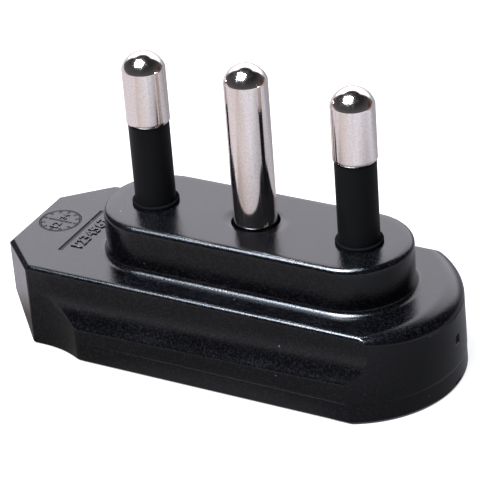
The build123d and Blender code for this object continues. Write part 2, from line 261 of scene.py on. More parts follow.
def top_height(x, y):
    """Plane height minus the deepest of the side rounding, the neck's bevel and the crown."""
    side = rounded_drop(wall_half - np.abs(y), side_round)
    end_gap = x - neck_end
    slant_gap = slant_normal[0] * end_gap - slant_normal[1] * (np.abs(y) - neck_end_half)
    bevel = np.clip(neck_bevel - np.minimum(end_gap, slant_gap), 0, neck_bevel)
    turn = np.arctan2(y, x - end_centre)
    wall_x = end_centre + end_bulge + end_radius_top * np.cos(turn)
    wall_y = end_radius_top * np.sin(turn)
    run = crown_run - crown_radius + np.hypot(wall_x - crown_centre, wall_y)
    run = np.clip(run, crown_run_least, crown_run)
    drop = crown_drop * (run / crown_run) ** 2
    swell = end_swell(y, wall_half, body_top - drop)
    edge_gap = end_radius(body_top - drop) + hair - np.hypot(x - end_centre - swell, y)
    crown = np.where(x > end_centre, rounded_drop(np.clip(edge_gap, 0, None), run) * drop / run, 0)
    return body_top - np.maximum.reduce([side, bevel, crown])


wall_top = np.full(half_columns, body_top - side_round)
for attempt in range(6):
    edge = half_loop(wall_top)
    wall_top = top_height(edge[:, 0], edge[:, 1])
print("height of the wall's top, mm:", np.round(wall_top[[0, 60, 150, -1]], 2))

# %% [markdown]
# ## Rows of the outer wall
# The wall's rows follow its creases: one group from the lower edge to the straight lip's top, one along the
# flare, one above it. The lower edge is at the back face under the neck, and at the joint with the rear
# cover everywhere else. The neck's underside slopes up towards its end.

# %% Heights of the wall's rows
# The lip is at least this high, and the wall's first row lies this far above the lower edge.
lip_least, first_rise = 0.4, 0.3
mid_height = 5.0


def slope_under_neck(x):
    """Height of the plane that slopes up towards the neck's end, or zero where it has reached the back."""
    return np.clip(slant_height * (1 - (x - neck_end) / slant_run), 0, None)


def between(low, high, steps):
    """Rows from one row of heights to another, evenly spaced, without the last one."""
    share = np.linspace(0, 1, steps + 1)[:-1, None]
    return low + (high - low) * share


outline_x = half_loop(np.full(half_columns, mid_height))[:, 0]
lower_edge = np.where(wide, parting, slope_under_neck(outline_x))
lip_line = np.maximum(lip_start(outline_x), lower_edge + lip_least)
flare_line = flare_start(outline_x)
wall_z = np.concatenate([
    between(lower_edge + first_rise, lip_line, 8),
    between(lip_line, flare_line, 20),
    between(flare_line, wall_top, 9),
    wall_top[None],
])
wall = at_height(half_loop(wall_z), wall_z)
print("wall rows:", len(wall))

# %% [markdown]
# ## Inside edge, joint and underside
# The body is a shell. Its rings start on the roof inside, come down the inner wall, turn outwards under the
# lower edge and only then climb the outer wall. A tiny step just above the lower edge is the joint line
# that the real plug shows all round its wide part.

# %% Inner wall and lower edge
inner_end, inner_wall, inner_lip, inner_radius = -25.0, 8.6, 10.0, 10.5
inner_roof, step_top, step_foot = 9.1, 4.5, 4.4
# How deep the lower edge steps in: at the joint line, under the flat of the neck and along its slope.
joint_step, neck_foot_round, slope_edge = 0.025, 0.3, 0.02
# How far the next two rows rise above the lower edge.
neck_rise, neck_lip_rise, joint_lip_rise, above_joint = 0.15, 0.28, 0.055, 0.05


def inner_loop(half):
    """Half a loop inside the shell: end wall, side and arc, in step with the outer loop's columns."""
    x, y = np.full(half_columns, inner_end), np.full(half_columns, -half)
    y[on_end] = -neck_end_half * end_share
    y[on_slant] = -(neck_end_half + (inner_wall - neck_end_half) * slant_share)
    x[on_neck] = inner_end + (near_neck_x - neck_corner) * (seam_x - inner_end) / (seam_x - neck_corner)
    y[on_neck] = -inner_wall
    corner_x = end_centre + math.sqrt(inner_radius**2 - half**2)
    x[on_side] = seam_x + hair + (corner_x - seam_x - hair) * side_share
    angle = -math.asin(half / inner_radius) * (1 - arc_share)
    x[on_arc] = end_centre + inner_radius * np.cos(angle)
    y[on_arc] = inner_radius * np.sin(angle)
    return np.stack([x, y], axis=-1)


narrow, low_inner = inner_loop(inner_wall), inner_loop(inner_lip)
inner_rows = np.stack([
    at_height(narrow, inner_roof),
    at_height(narrow, step_top),
    at_height(low_inner, step_foot),
    at_height(low_inner, np.where(wide, parting, 0.0)),
])
inward = low_inner - wall[0, :, :2]
inward = inward / np.linalg.norm(inward, axis=-1, keepdims=True)
foot_depth = np.where(wide, joint_step, np.where(lower_edge < hair, neck_foot_round, slope_edge))
mid_depth = np.where(wide, foot_depth, foot_depth / 2)
mid_z = lower_edge + np.where(wide, joint_step, neck_rise)
edge_xy = half_loop(lower_edge + hair)
foot_row = at_height(edge_xy + inward * foot_depth[:, None], lower_edge)
mid_row = at_height(edge_xy + inward * mid_depth[:, None], mid_z)
lip_z = lower_edge + np.where(wide, joint_lip_rise, neck_lip_rise)
lip_row = at_height(half_loop(mid_z + above_joint), lip_z)
under_share = np.linspace(0, 1, 9)[1:-1, None, None]
under_xy = low_inner + (foot_row[..., :2] - low_inner) * under_share
under_rows = at_height(under_xy, np.where(wide, parting, slope_under_neck(under_xy[..., 0])))
print("rows under the edge:", len(under_rows))

# %% [markdown]
# ## Over the top to the boss
# From the wall's top edge the rows run inwards to the foot of the boss. Each column aims at the nearest
# point of the boss's middle line, so the rows meet the boss square on. A hollow rounding leads up its wall
# and a full one over its edge, and the last rows close in on the hole round the middle pin.

# %% Rows of the top and the boss
boss_half_length, boss_half_width = 19.05, 6.85
foot_round, edge_round = 0.7, 0.7
hole_radius = 2.86
# How far in from the wall's edge the close rows of the rounding lie.
insets = [0.008, 0.03, 0.07, 0.12, 0.18, 0.25, 0.33, 0.42, 0.52, 0.64, 0.78, 0.94, 1.12, 1.32]
# Shares of the hole's radius, each with its depth below the boss's face.
hole_steps = ((0.985, 0.03), (0.975, 0.1), (0.975, 2.2))
spine_end = boss_half_length - boss_half_width
top_edge = wall[-1, :, :2]
spine = np.stack([np.clip(top_edge[:, 0], -spine_end, spine_end), np.zeros(half_columns)], axis=-1)
outward = top_edge - spine
outward = outward / np.linalg.norm(outward, axis=-1, keepdims=True)


def boss_row(offset, z):
    """Ring at a distance outside the boss's own outline, at a height."""
    return at_height(spine + outward * (boss_half_width + offset), z)


near_edge = top_edge - outward * np.array(insets)[:, None, None]
boss_foot = spine + outward * (boss_half_width + foot_round)
across_top = near_edge[-1] + (boss_foot - near_edge[-1]) * np.linspace(0, 1, 27)[1:, None, None]
top_xy = np.concatenate([near_edge, across_top])
top_rows = at_height(top_xy, top_height(top_xy[..., 0], top_xy[..., 1]))
# A quarter turn in steps: how much of its first way is left, and how much of its second is gone.
turns = [(1 - math.sin(t), 1 - math.cos(t)) for t in np.linspace(0, math.pi / 2, 8)[1:]]
foot_rows = [boss_row(foot_round * left, body_top + foot_round * gone) for left, gone in turns]
side_rows = [boss_row(0, z) for z in np.linspace(body_top + foot_round, boss_face - edge_round, 10)[1:]]
edge_rows = [boss_row(-edge_round * gone, boss_face - edge_round * left) for left, gone in turns]
rim = edge_rows[-1][:, :2]
hole_xy = hole_radius * rim / np.linalg.norm(rim, axis=-1, keepdims=True)
face_rows = at_height(rim + (hole_xy - rim) * np.linspace(0, 1, 12)[1:, None, None], boss_face)
hole_rows = [at_height(hole_xy * share, boss_face - depth) for share, depth in hole_steps]

half_rows = np.concatenate([
    inner_rows, under_rows, np.stack([foot_row, mid_row, lip_row]), wall, top_rows,
    np.stack(foot_rows + side_rows + edge_rows), face_rows, np.stack(hole_rows),
])
body_rings = full_loop(half_rows)
print("body rings:", body_rings.shape)

# %% [markdown]
# ## The cord's hole
# The cord goes in through a round hole in the neck's end. A stack of rings has no holes, so a window of
# faces is left out, its border is joined to a circle, and the circle's wall runs inwards. The circle lies
# partly on the end wall and partly on the sloping underside, so its points are slid along x until both
# agree.

# %% Open a window in the grid and line it with a round passage
bore_z, bore_radius, mouth_radius, bore_depth = 5.5, 3.5, 4.0, 5.2
window_low, window_high, window_half = 1.1, 9.62, 4.3
rows_total, columns_total = body_rings.shape[:2]
first_wall_row = len(inner_rows)
climbing_z = body_rings[first_wall_row:, 0, 2]
low_row, high_row = (first_wall_row + int(np.argmax(climbing_z > z)) for z in (window_low, window_high))
side_column = int(np.argmax(-body_rings[high_row, :half_columns, 1] > window_half))
print("window rows", low_row, "to", high_row, "columns up to", side_column)

index = np.arange(rows_total * columns_total).reshape(rows_total, columns_total)
window_columns = np.arange(-side_column, side_column + 1) % columns_total
border = np.concatenate([
    index[low_row, window_columns],
    index[low_row + 1:high_row, window_columns[-1]],
    index[high_row, window_columns[::-1]],
    index[low_row + 1:high_row, window_columns[0]][::-1],
])
flat = body_rings.reshape(-1, 3)
around_bore = np.arctan2(flat[border, 1], flat[border, 2] - bore_z)
rim_radius, rim_depth = np.full(len(border), mouth_radius), np.zeros(len(border))
for attempt in range(80):
    z = bore_z + rim_radius * np.cos(around_bore)
    surface = np.clip(slant_height - z, 0, None) * slant_run / slant_height
    rim_depth = 0.5 * rim_depth + 0.5 * surface
    rim_radius = np.clip(mouth_radius - rim_depth, bore_radius, mouth_radius)


def bore_ring(radius, depth):
    """Circle about the bore's axis, at a radius and a depth from the neck's end, or one for each point."""
    x = neck_end + depth + 0 * around_bore
    return np.stack([x, radius * np.sin(around_bore), bore_z + radius * np.cos(around_bore)], axis=-1)


mouth = bore_ring(rim_radius, rim_depth)
waist = bore_ring(bore_radius, np.maximum(rim_depth + 2 * hair, mouth_radius - bore_radius))
deep = bore_ring(bore_radius, bore_depth)
lining = np.stack([mouth, waist, waist + (deep - waist) * 0.5, deep])
keep = np.ones((rows_total - 1, columns_total), bool)
keep[low_row:high_row, window_columns[:-1]] = False
lining_index = index.size + np.arange(len(lining) * len(border)).reshape(len(lining), -1)
body_quads = ring_quads(index)[keep.reshape(-1)].tolist()
lining_quads = ring_quads(np.vstack([border, lining_index])).tolist()
caps = [cap.tolist() for cap in (index[0, ::-1], index[-1], lining_index[-1])]
body_faces = body_quads + lining_quads + caps
body_points = np.vstack([flat, lining.reshape(-1, 3)])
body_shell = make_piece("body_shell", body_points, body_faces)
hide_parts("housing")
print("body shell faces:", len(body_faces))


# %% [markdown]
# ## Turned pieces
# Pins, sleeves and the small rings at their feet are turned shapes: an outline of radius against height,
# carried round an upright axis. The outline is a short array, so each rounding can have as many points as
# the light needs.

# %% Carry an outline round an upright axis
def turned(name, outline_points, x, around=96):
    """Each ring has the outline point's radius times cosine and sine, at the outline point's height."""
    outline_points = np.asarray(outline_points, float)
    angle = np.linspace(0, 2 * math.pi, around, endpoint=False)
    radius, height = outline_points[:, :1], outline_points[:, 1:]
    rings = np.stack([x + radius * np.cos(angle), radius * np.sin(angle), height + 0 * angle], axis=-1)
    return stack_rings(name, rings)


def arc(centre_radius, centre_z, radius, start, stop, steps):
    """Points of a circle's arc in the outline's plane, from one angle in degrees to another."""
    t = np.radians(np.linspace(start, stop, steps))
    return np.stack([centre_radius + radius * np.cos(t), centre_z + radius * np.sin(t)], axis=-1)


pin_pitch, pin_radius, flange_radius, core_radius = 13.0, 2.5, 3.8, 1.8
flange_base, ceiling, contact_base = 12.7, 14.1, 26.8
outer_tip, earth_tip = 35.3, 35.9
outer_pins = (("line_pin", -pin_pitch), ("neutral_pin", pin_pitch))


# %% [markdown]
# ## Pins
# The earth pin is one bare rod. The outer pins are thinner where their sleeve sits, and full size above it.
# All three end in a dome a little lower than half a ball, which leaves a fine crease where it meets the
# wall. The bright plating shows the whole room in those few millimetres, so the outline has many rings
# there. Below the boss the pin has its round flange.

# %% Earth pin and the two sleeved pins
dome_height = 1.92
# Radius of the earth pin inside the boss's roof, and the small bevel where an outer pin's metal starts.
hidden_radius = 2.3
chamfer_in, chamfer_up = 0.07, 0.06
# The plain wall's rows end this far below the tip, and the dome's own rows take over.
below_tip = 2.7


def dome(tip):
    """Wall up to the crease, then the arc through the crease and the tip, ending just off the axis."""
    ball = (pin_radius**2 + dome_height**2) / (2 * dome_height)
    lean = math.degrees(math.asin((ball - dome_height) / ball))
    crease = [(pin_radius, tip - dome_height - rise) for rise in (0.12, 0.03)]
    return np.vstack([crease, arc(0, tip - ball, ball, lean, 89.4, 30)])


def rod(low, high, rows):
    """Evenly spaced rows of a pin's plain wall."""
    return [(pin_radius, z) for z in np.linspace(low, high, rows)]


flange = [(flange_radius, flange_base), (flange_radius, ceiling)]
earth_foot = flange + [(hidden_radius, ceiling), (hidden_radius, boss_face - 0.3), (pin_radius, boss_face)]
earth_outline = np.vstack([earth_foot, rod(boss_face + 0.3, earth_tip - below_tip, 12), dome(earth_tip)])
earth = turned("earth_pin_turned", earth_outline, 0.0)
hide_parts("earth_pin")
for name, x in outer_pins:
    core = [(core_radius, ceiling), (core_radius, contact_base)]
    chamfer = [(pin_radius - chamfer_in, contact_base), (pin_radius, contact_base + chamfer_up)]
    contact = rod(contact_base + 0.4, outer_tip - below_tip, 6)
    pin_outline = np.vstack([flange + core + chamfer, contact, dome(outer_tip)])
    pin = turned(name + "_turned", pin_outline, x)
    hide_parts(name)

# %% [markdown]
# ## Sleeves and the rings at their feet
# Each outer pin wears a moulded black sleeve, a little slimmer than the metal above it, so that pin and
# sleeve slide into a socket together. Where the sleeve leaves the boss, the body has a low rounded bead.

# %% Sleeves and beads
sleeve_bore, sleeve_radius = 1.85, 2.37
bead_bore, bead_radius, bead_foot = 2.42, 2.74, boss_face - 0.4
for name, x in outer_pins:
    sleeve_outline = [(sleeve_bore, ceiling)]
    sleeve_outline += [(sleeve_radius, z) for z in np.linspace(ceiling, contact_base - 0.6, 12)]
    sleeve_outline += [(sleeve_radius, contact_base - 0.25), (sleeve_radius - 0.02, contact_base - 0.05)]
    sleeve_outline += [(sleeve_radius - 0.07, contact_base - hair), (sleeve_bore, contact_base - hair)]
    sleeve = turned(name + "_sleeve_moulded", sleeve_outline, x)
    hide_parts(name + "_sleeve")
    bead = np.vstack([
        [(bead_bore, bead_foot), (bead_radius, bead_foot), (bead_radius, boss_face + 0.1)],
        arc(bead_radius - 0.18, boss_face + 0.27, 0.18, 0, 90, 8),
        arc(2.5, boss_face + 0.39, 0.06, 90, 180, 4),
    ])
    turned(name + "_bead", bead, x)

# %% [markdown]
# ## Node groups for the finishes
# A finish is a recipe of small effects: grain, dust, turning marks. Each effect is a shader node group
# that reads Object coordinates and gives back a mask, so that several materials can share it. The groups
# are wired with a helper that adds a node, sets its plain values and links its other inputs.

# %% Helpers for wiring nodes
def feed(tree, socket, value):
    """Links a socket to another one, or sets it to a plain value."""
    if isinstance(value, bpy.types.NodeSocket):
        tree.links.new(value, socket)
    else:
        socket.default_value = value


def add_node(tree, kind, settings=None, **inputs):
    """Adds a node and feeds its inputs, named as on the node with _ for a space, or by number as i0, i1."""
    node = tree.nodes.new(kind)
    for key, value in (settings or {}).items():
        setattr(node, key, value)
    for key, value in inputs.items():
        numbered = key[0] == "i" and key[1:].isdigit()
        feed(tree, node.inputs[int(key[1:]) if numbered else key.replace("_", " ")], value)
    return node


def calc(tree, operation, a, b=0.0):
    """One step of arithmetic on two values or sockets."""
    return add_node(tree, "ShaderNodeMath", {"operation": operation}, i0=a, i1=b).outputs[0]


def chain(tree, operation, *values):
    """One operation carried through several values: a product of masks is one only where all of them are."""
    result = values[0]
    for value in values[1:]:
        result = calc(tree, operation, result, value)
    return result


def far_out(tree, x, y):
    """Distance of a place (x, y) from nought: the root of the sum of both squares."""
    return calc(tree, "SQRT", calc(tree, "ADD", *(calc(tree, "POWER", value, 2.0) for value in (x, y))))


def remap(tree, value, low, high, to_low=0.0, to_high=1.0):
    """Stretches a band of values to another one and holds it there."""
    band = {"i1": low, "i2": high, "i3": to_low, "i4": to_high}
    return add_node(tree, "ShaderNodeMapRange", {"clamp": True}, i0=value, **band).outputs[0]


def stripe(tree, value, centre, half_wide, ease=0.00005):
    """One inside a band about a centre value, easing to nought at its edges."""
    away = calc(tree, "ABSOLUTE", calc(tree, "SUBTRACT", value, centre))
    return remap(tree, away, half_wide - ease, half_wide + ease, 1.0, 0.0)


def place(tree):
    """The surface's own place in metres, which stays put from every side."""
    return tree.nodes.new("ShaderNodeTexCoord").outputs["Object"]


def split(tree, vector):
    """The three parts of a vector."""
    return tuple(add_node(tree, "ShaderNodeSeparateXYZ", None, Vector=vector).outputs)


def noise(tree, where, scale, detail, roughness):
    """Soft cloud pattern with the given number of lumps in a metre."""
    values = {"Vector": where, "Scale": scale, "Detail": detail, "Roughness": roughness}
    return add_node(tree, "ShaderNodeTexNoise", None, **values).outputs["Fac"]


def group_input(group, label, value):
    """Adds a number input to a group and gives the socket that brings it in."""
    group.interface.new_socket(label, in_out="INPUT", socket_type="NodeSocketFloat").default_value = value
    return group.nodes.new("NodeGroupInput").outputs[label]


def give_back(group, **outputs):
    """Makes a group's number outputs and links a value to each."""
    for label in outputs:
        group.interface.new_socket(label, in_out="OUTPUT", socket_type="NodeSocketFloat")
    last = group.nodes.new("NodeGroupOutput")
    for label, value in outputs.items():
        group.links.new(value, last.inputs[label])
    print(group.name, "nodes:", len(group.nodes))


# %% [markdown]
# ## Moulded grain
# A mould for a plug is lightly sandblasted, so the plastic comes out with a fine, even grain a tenth of a
# millimetre across, over broad, slow waves where the plastic shrank. Dust shows on black as a few pale
# specks.

# %% Grain, waves and dust
grain_group = bpy.data.node_groups.new("moulded_grain", "ShaderNodeTree")
fineness = group_input(grain_group, "Fineness", 9000.0)
spot = place(grain_group)
fine = noise(grain_group, spot, fineness, 2.0, 0.6)
coarse = noise(grain_group, spot, calc(grain_group, "MULTIPLY", fineness, 0.4), 2.0, 0.6)
grain_layers = [calc(grain_group, "MULTIPLY", layer, share) for layer, share in ((fine, 0.4), (coarse, 0.6))]
cells = add_node(
    grain_group, "ShaderNodeTexVoronoi", {"feature": "F1"}, Vector=spot, Scale=900.0, Randomness=1.0
)
speck = remap(grain_group, cells.outputs["Distance"], 0.05, 0.11, 1.0, 0.0)
chosen = add_node(grain_group, "ShaderNodeSeparateColor", None, Color=cells.outputs["Color"]).outputs["Red"]
give_back(
    grain_group,
    Grain=calc(grain_group, "ADD", *grain_layers),
    Waves=noise(grain_group, spot, 160.0, 2.0, 0.5),
    Dust=calc(grain_group, "MULTIPLY", speck, remap(grain_group, chosen, 0.955, 0.96)),
)

# %% [markdown]
# ## Generic mould marks on the neck
# The real neck has marks pressed into its top. Their place is kept, filled with plain ones that say
# nothing: a straight groove, and a ring with twelve ticks and a pointer, like a mould's date dial. Each
# mark is a distance worked out from x and y, so its edges stay sharp at any zoom. The same group holds the
# small upright nick that the mould left in the round end's wall. Its Shade output is painted shade: it
# darkens the groove, the dial, the nick and the notch under the nick, where shadow falls in them.

# %% Depth and painted shade of the pressed marks, with sizes in metres
marks_group = bpy.data.node_groups.new("mould_marks", "ShaderNodeTree")
mark_x, mark_y, mark_z = split(marks_group, place(marks_group))
groove_x, groove_y, groove_half_wide, groove_half_long = -0.0233, -0.00075, 0.00017, 0.00495
dial_x, dial_y, dial_radius, tick_radius, pointer_end = -0.02685, 0.0003, 0.00242, 0.00205, 0.0015
line_half, line_ease, soft_ease = 0.0001, 0.00006, 0.00012
nick_y, nick_z, nick_half_wide, nick_half_tall = 0.0001, 0.006, 0.00048, 0.00056
notch_half_wide, notch_top = 0.00076, 0.00064

groove = chain(
    marks_group, "MULTIPLY",
    stripe(marks_group, mark_x, groove_x, groove_half_wide, soft_ease),
    stripe(marks_group, mark_y, groove_y, groove_half_long),
)
from_x = calc(marks_group, "SUBTRACT", mark_x, dial_x)
from_y = calc(marks_group, "SUBTRACT", mark_y, dial_y)
out_from = far_out(marks_group, from_x, from_y)
ring_line = stripe(marks_group, out_from, dial_radius, line_half, line_ease)
around = calc(marks_group, "ARCTAN2", from_y, from_x)
tick_wave = calc(marks_group, "COSINE", calc(marks_group, "MULTIPLY", around, 12.0))
ticks = chain(
    marks_group, "MULTIPLY",
    remap(marks_group, tick_wave, 0.45, 0.8),
    stripe(marks_group, out_from, tick_radius, 0.00022),
)
pointer = chain(
    marks_group, "MULTIPLY",
    stripe(marks_group, from_y, 0.0, line_half, line_ease),
    remap(marks_group, out_from, pointer_end, pointer_end + 0.0001, 1.0, 0.0),
)
dial = calc(marks_group, "MULTIPLY", chain(marks_group, "MAXIMUM", ring_line, ticks, pointer), 0.6)
on_top = stripe(marks_group, mark_z, body_top * mm, 0.0002)
pressed_top = calc(marks_group, "MULTIPLY", calc(marks_group, "MAXIMUM", groove, dial), on_top)
nick = chain(
    marks_group, "MULTIPLY",
    stripe(marks_group, mark_y, nick_y, nick_half_wide, soft_ease),
    stripe(marks_group, mark_z, nick_z, nick_half_tall, soft_ease),
    remap(marks_group, mark_x, 0.0220, 0.0225),
)
# Painted shade: the notch under the round end is darkened where shadow falls in it.
notch = chain(
    marks_group, "MULTIPLY",
    stripe(marks_group, mark_y, 0.0, notch_half_wide),
    remap(marks_group, mark_z, notch_top, notch_top + 0.00006, 1.0, 0.0),
    remap(marks_group, mark_x, 0.0232, 0.0234),
)
mark_depth = calc(marks_group, "MAXIMUM", pressed_top, nick)
# Shade is painted shade over the groove, the dial, the nick and the notch; Depth alone tilts the surface.
give_back(marks_group, Depth=mark_depth, Shade=calc(marks_group, "MAXIMUM", mark_depth, notch))

# %% [markdown]
# ## The black plastic
# The body is black plastic with a satin gloss. Colour and roughness drift a little with the waves, the
# grain only tilts the surface, and the marks are pressed in by a bump. Painted shade turns the marks and
# the notch black, and the same mask makes them fully rough.

# %% Material of the body
def new_material(name, colour, roughness, metallic=0.0):
    """Principled material with its plain values on the shader's own sockets."""
    material = bpy.data.materials.new(name)
    material.use_nodes = True
    shader = material.node_tree.nodes["Principled BSDF"]
    shader.inputs["Base Color"].default_value = (*colour, 1)
    shader.inputs["Roughness"].default_value = roughness
    shader.inputs["Metallic"].default_value = metallic
    return material, material.node_tree, shader


def use_group(tree, group, **inputs):
    """Adds a shared group to a material and gives its outputs."""
    node = tree.nodes.new("ShaderNodeGroup")
    node.node_tree = group
    for key, value in inputs.items():
        node.inputs[key].default_value = value
    return node.outputs


def mix_colour(tree, share, first, second):
    """Blend of two colours, plain ones or sockets, by a mask."""
    first, second = ((*value, 1) if isinstance(value, tuple) else value for value in (first, second))
    return add_node(tree, "ShaderNodeMix", {"data_type": "RGBA"}, i0=share, i6=first, i7=second).outputs[2]


def bump(tree, height, strength, distance, invert=False, **under):
    """Normal tilted by a height mask, whose full range stands for a distance in metres."""
    values = {"Strength": strength, "Distance": distance, "Height": height}
    return add_node(tree, "ShaderNodeBump", {"invert": invert}, **values, **under).outputs["Normal"]


def dress(tree, shader, **values):
    """Links a value to each named input of a shader, with _ for a space."""
    for key, value in values.items():
        tree.links.new(value, shader.inputs[key.replace("_", " ")])


# Noise seldom leaves this band, so a drift from its foot to its top uses the whole range.
noise_band = (0.3, 0.7)

body_black, tree, shader = new_material("moulded_black", (0.002, 0.002, 0.0025), 0.24)
shader.inputs["IOR"].default_value = 1.4
grain = use_group(tree, grain_group, Fineness=10000.0)
marks = use_group(tree, marks_group)
tone = mix_colour(tree, grain["Waves"], (0.0034, 0.0033, 0.0047), (0.0054, 0.0052, 0.0073))
tone = mix_colour(tree, remap(tree, grain["Grain"], 0.49, 0.66), (0.0002, 0.0002, 0.0002), tone)
# Painted shade: the marks and the notch turn black where shade falls in them.
tone = mix_colour(tree, marks["Shade"], tone, (0.0, 0.0, 0.0))
tone = mix_colour(tree, grain["Dust"], tone, (0.06, 0.06, 0.07))
gloss = calc(tree, "MAXIMUM", remap(tree, grain["Waves"], *noise_band, 0.15, 0.21), marks["Shade"])
pressed = bump(tree, marks["Depth"], 1.0, 0.0004, invert=True)
grained = bump(tree, grain["Grain"], 0.45, 0.00005, Normal=pressed)
dress(tree, shader, Base_Color=tone, Roughness=gloss, Normal=grained)
print("nodes of the body's black:", len(tree.nodes))

# %% [markdown]
# ## The sleeves' matte black
# The sleeves are a softer plastic with a drier surface, so less of the room shows in them. The rings at
# their feet are duller still.

# %% Materials of the sleeves and of the rings
sleeve_black, tree, shader = new_material("sleeve_black", (0.003, 0.003, 0.003), 0.5)
shader.inputs["IOR"].default_value = 1.22
grain = use_group(tree, grain_group, Fineness=12000.0)
tone = mix_colour(tree, grain["Waves"], (0.0006, 0.0006, 0.0006), (0.0012, 0.0012, 0.0013))
tone = mix_colour(tree, grain["Dust"], tone, (0.12, 0.12, 0.13))
gloss = remap(tree, grain["Waves"], *noise_band, 0.46, 0.56)
dress(tree, shader, Base_Color=tone, Roughness=gloss, Normal=bump(tree, grain["Grain"], 0.3, 0.00002))

bead_black, tree, shader = new_material("bead_black", (0.002, 0.002, 0.002), 0.6)
shader.inputs["IOR"].default_value = 1.05
grain = use_group(tree, grain_group, Fineness=12000.0)
tone = mix_colour(tree, grain["Grain"], (0.0008, 0.0008, 0.0008), (0.003, 0.003, 0.0032))
dress(tree, shader, Base_Color=tone, Roughness=remap(tree, grain["Waves"], *noise_band, 0.5, 0.65))

# %% [markdown]
# ## Nickel plating
# The pins are turned brass with a bright nickel plating. Turning leaves hair-fine rings round the pin,
# which spread a reflection up and down, and use leaves faint streaks along it. The plating is a warm,
# pinkish silver, finely speckled where it is worn.

# %% Turning marks and streaks
turning_group = bpy.data.node_groups.new("turning_marks", "ShaderNodeTree")


def stretched_noise(around, along, detail, roughness):
    """Noise with its own number of lumps in a metre round the pin and along it."""
    where = {"Vector": place(turning_group), "Scale": (around, around, along)}
    mapping = add_node(turning_group, "ShaderNodeMapping", None, **where)
    return noise(turning_group, mapping.outputs[0], 1.0, detail, roughness)


ring_noise = stretched_noise(60.0, 14000.0, 2.0, 0.6)
streak_noise = stretched_noise(2600.0, 90.0, 3.0, 0.55)
give_back(turning_group, Rings=ring_noise, Streaks=remap(turning_group, streak_noise, 0.5, 0.75))

pin_plating, tree, shader = new_material("pin_plating", (0.83, 0.765, 0.72), 0.12, 1.0)
turning = use_group(tree, turning_group)
grain = use_group(tree, grain_group, Fineness=11000.0)
tone = mix_colour(tree, turning["Streaks"], (0.86, 0.79, 0.735), (0.74, 0.665, 0.6))
tone = mix_colour(tree, remap(tree, grain["Grain"], 0.44, 0.6, 0.0, 0.4), tone, (0.58, 0.5, 0.48))
gloss = remap(tree, turning["Streaks"], 0.0, 1.0, 0.1, 0.17)
dress(tree, shader, Base_Color=tone, Roughness=gloss, Normal=bump(tree, turning["Rings"], 0.12, 0.00001))
print("nodes of the plating:", len(tree.nodes))

# %% [markdown]
# ## Inner metal and plastic
# Screws, clamps and the strap are zinc-plated steel, the bushes are brass, and the plate over the pins is a
# tan insulating plastic. Most of it hides inside, but the two cover screws show from the back.

# %% Materials of the inner pieces
zinc, tree, shader = new_material("zinc_plated", (0.6, 0.61, 0.63), 0.32, 1.0)
grain = use_group(tree, grain_group, Fineness=5000.0)
tone = mix_colour(tree, grain["Waves"], (0.52, 0.53, 0.56), (0.66, 0.66, 0.66))
dress(tree, shader, Base_Color=tone, Roughness=remap(tree, grain["Grain"], *noise_band, 0.26, 0.4))

brass, tree, shader = new_material("bush_brass_turned", (0.72, 0.55, 0.28), 0.28, 1.0)
rings = use_group(tree, turning_group)["Rings"]
tone = mix_colour(tree, rings, (0.66, 0.49, 0.23), (0.76, 0.6, 0.33))
dress(tree, shader, Base_Color=tone, Roughness=remap(tree, rings, *noise_band, 0.22, 0.36))

tan_plate, tree, shader = new_material("insulating_plate", (0.32, 0.27, 0.2), 0.6)
grain = use_group(tree, grain_group, Fineness=6000.0)
tone = mix_colour(tree, grain["Waves"], (0.28, 0.235, 0.17), (0.36, 0.3, 0.225))
dress(tree, shader, Base_Color=tone, Roughness=remap(tree, grain["Grain"], *noise_band, 0.52, 0.68))
print("materials so far:", len(bpy.data.materials))

# %% [markdown]
# ## A row of plain numbers
# Beside the groove the real neck has a row of small raised characters. Plain numbers take their place. They
# are type set with Blender's own font, made a mesh, and laid on the neck so that they stand a few
# hundredths of a millimetre proud.

# %% Raised numbers
def raised_type(name, words, length, x, y):
    """Sets type, makes it a mesh that reads along +Y with its tops towards -X, and scales it to length."""
    curve = bpy.data.curves.new(name + "_type", "FONT")
    curve.body, curve.size, curve.extrude, curve.bevel_depth = words, 1.0, 0.04, 0.02
    curve.resolution_u = 4
    setter = in_scene(name + "_type", curve)
    mesh = bpy.data.meshes.new_from_object(setter.evaluated_get(bpy.context.evaluated_depsgraph_get()))
    bpy.data.objects.remove(setter)
    flat = np.empty(len(mesh.vertices) * 3, np.float32)
    mesh.vertices.foreach_get("co", flat)
    flat = flat.reshape(-1, 3)
    middle = (flat.max(0) + flat.min(0)) / 2
    flat = (flat - middle) * length / np.ptp(flat[:, 0])
    placed = np.stack([x - flat[:, 1], y + flat[:, 0], body_top + hair + flat[:, 2]], axis=-1) * mm
    mesh.vertices.foreach_set("co", placed.astype(np.float32).reshape(-1))
    mesh.update()
    add_piece(name, mesh)
    print(name, "height of type, mm:", round(float(np.ptp(placed[:, 0])) / mm, 2))


raised_type("neck_numbers", "1234567", 7.0, -21.85, -0.9)
raised_type("dial_numbers_near", "12", 1.2, -26.85, -0.75)
raised_type("dial_numbers_far", "34", 1.2, -26.85, 1.35)

# %% [markdown]
# ## Which piece wears what
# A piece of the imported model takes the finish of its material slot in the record. A new piece takes the one
# that its name's ending stands for, and the body's black where there is none.

# %% Give every piece its material
finish_of = {
    "body_plastic": body_black,
    "sleeve_plastic": sleeve_black,
    "retainer_plastic": tan_plate,
    "pin_nickel": pin_plating,
    "zinc_steel": zinc,
    "bush_brass": brass,
}
slot_of = {part["node"]: part["material_slot"] for part in frame["record"]["subparts"]}
for node, thing in frame["nodes"].items():
    for holder in thing.material_slots:
        holder.material = finish_of[slot_of[node]]
finish_by_ending = {"_turned": pin_plating, "_sleeve_moulded": sleeve_black, "_bead": bead_black}
for thing in bpy.context.scene.objects:
    if thing.type == "MESH" and not thing.data.materials and thing.name not in frame["nodes"]:
        fitting = [finish for ending, finish in finish_by_ending.items() if thing.name.endswith(ending)]
        thing.data.materials.append((fitting + [body_black])[0])
print("finishes:", sorted(finish_of))
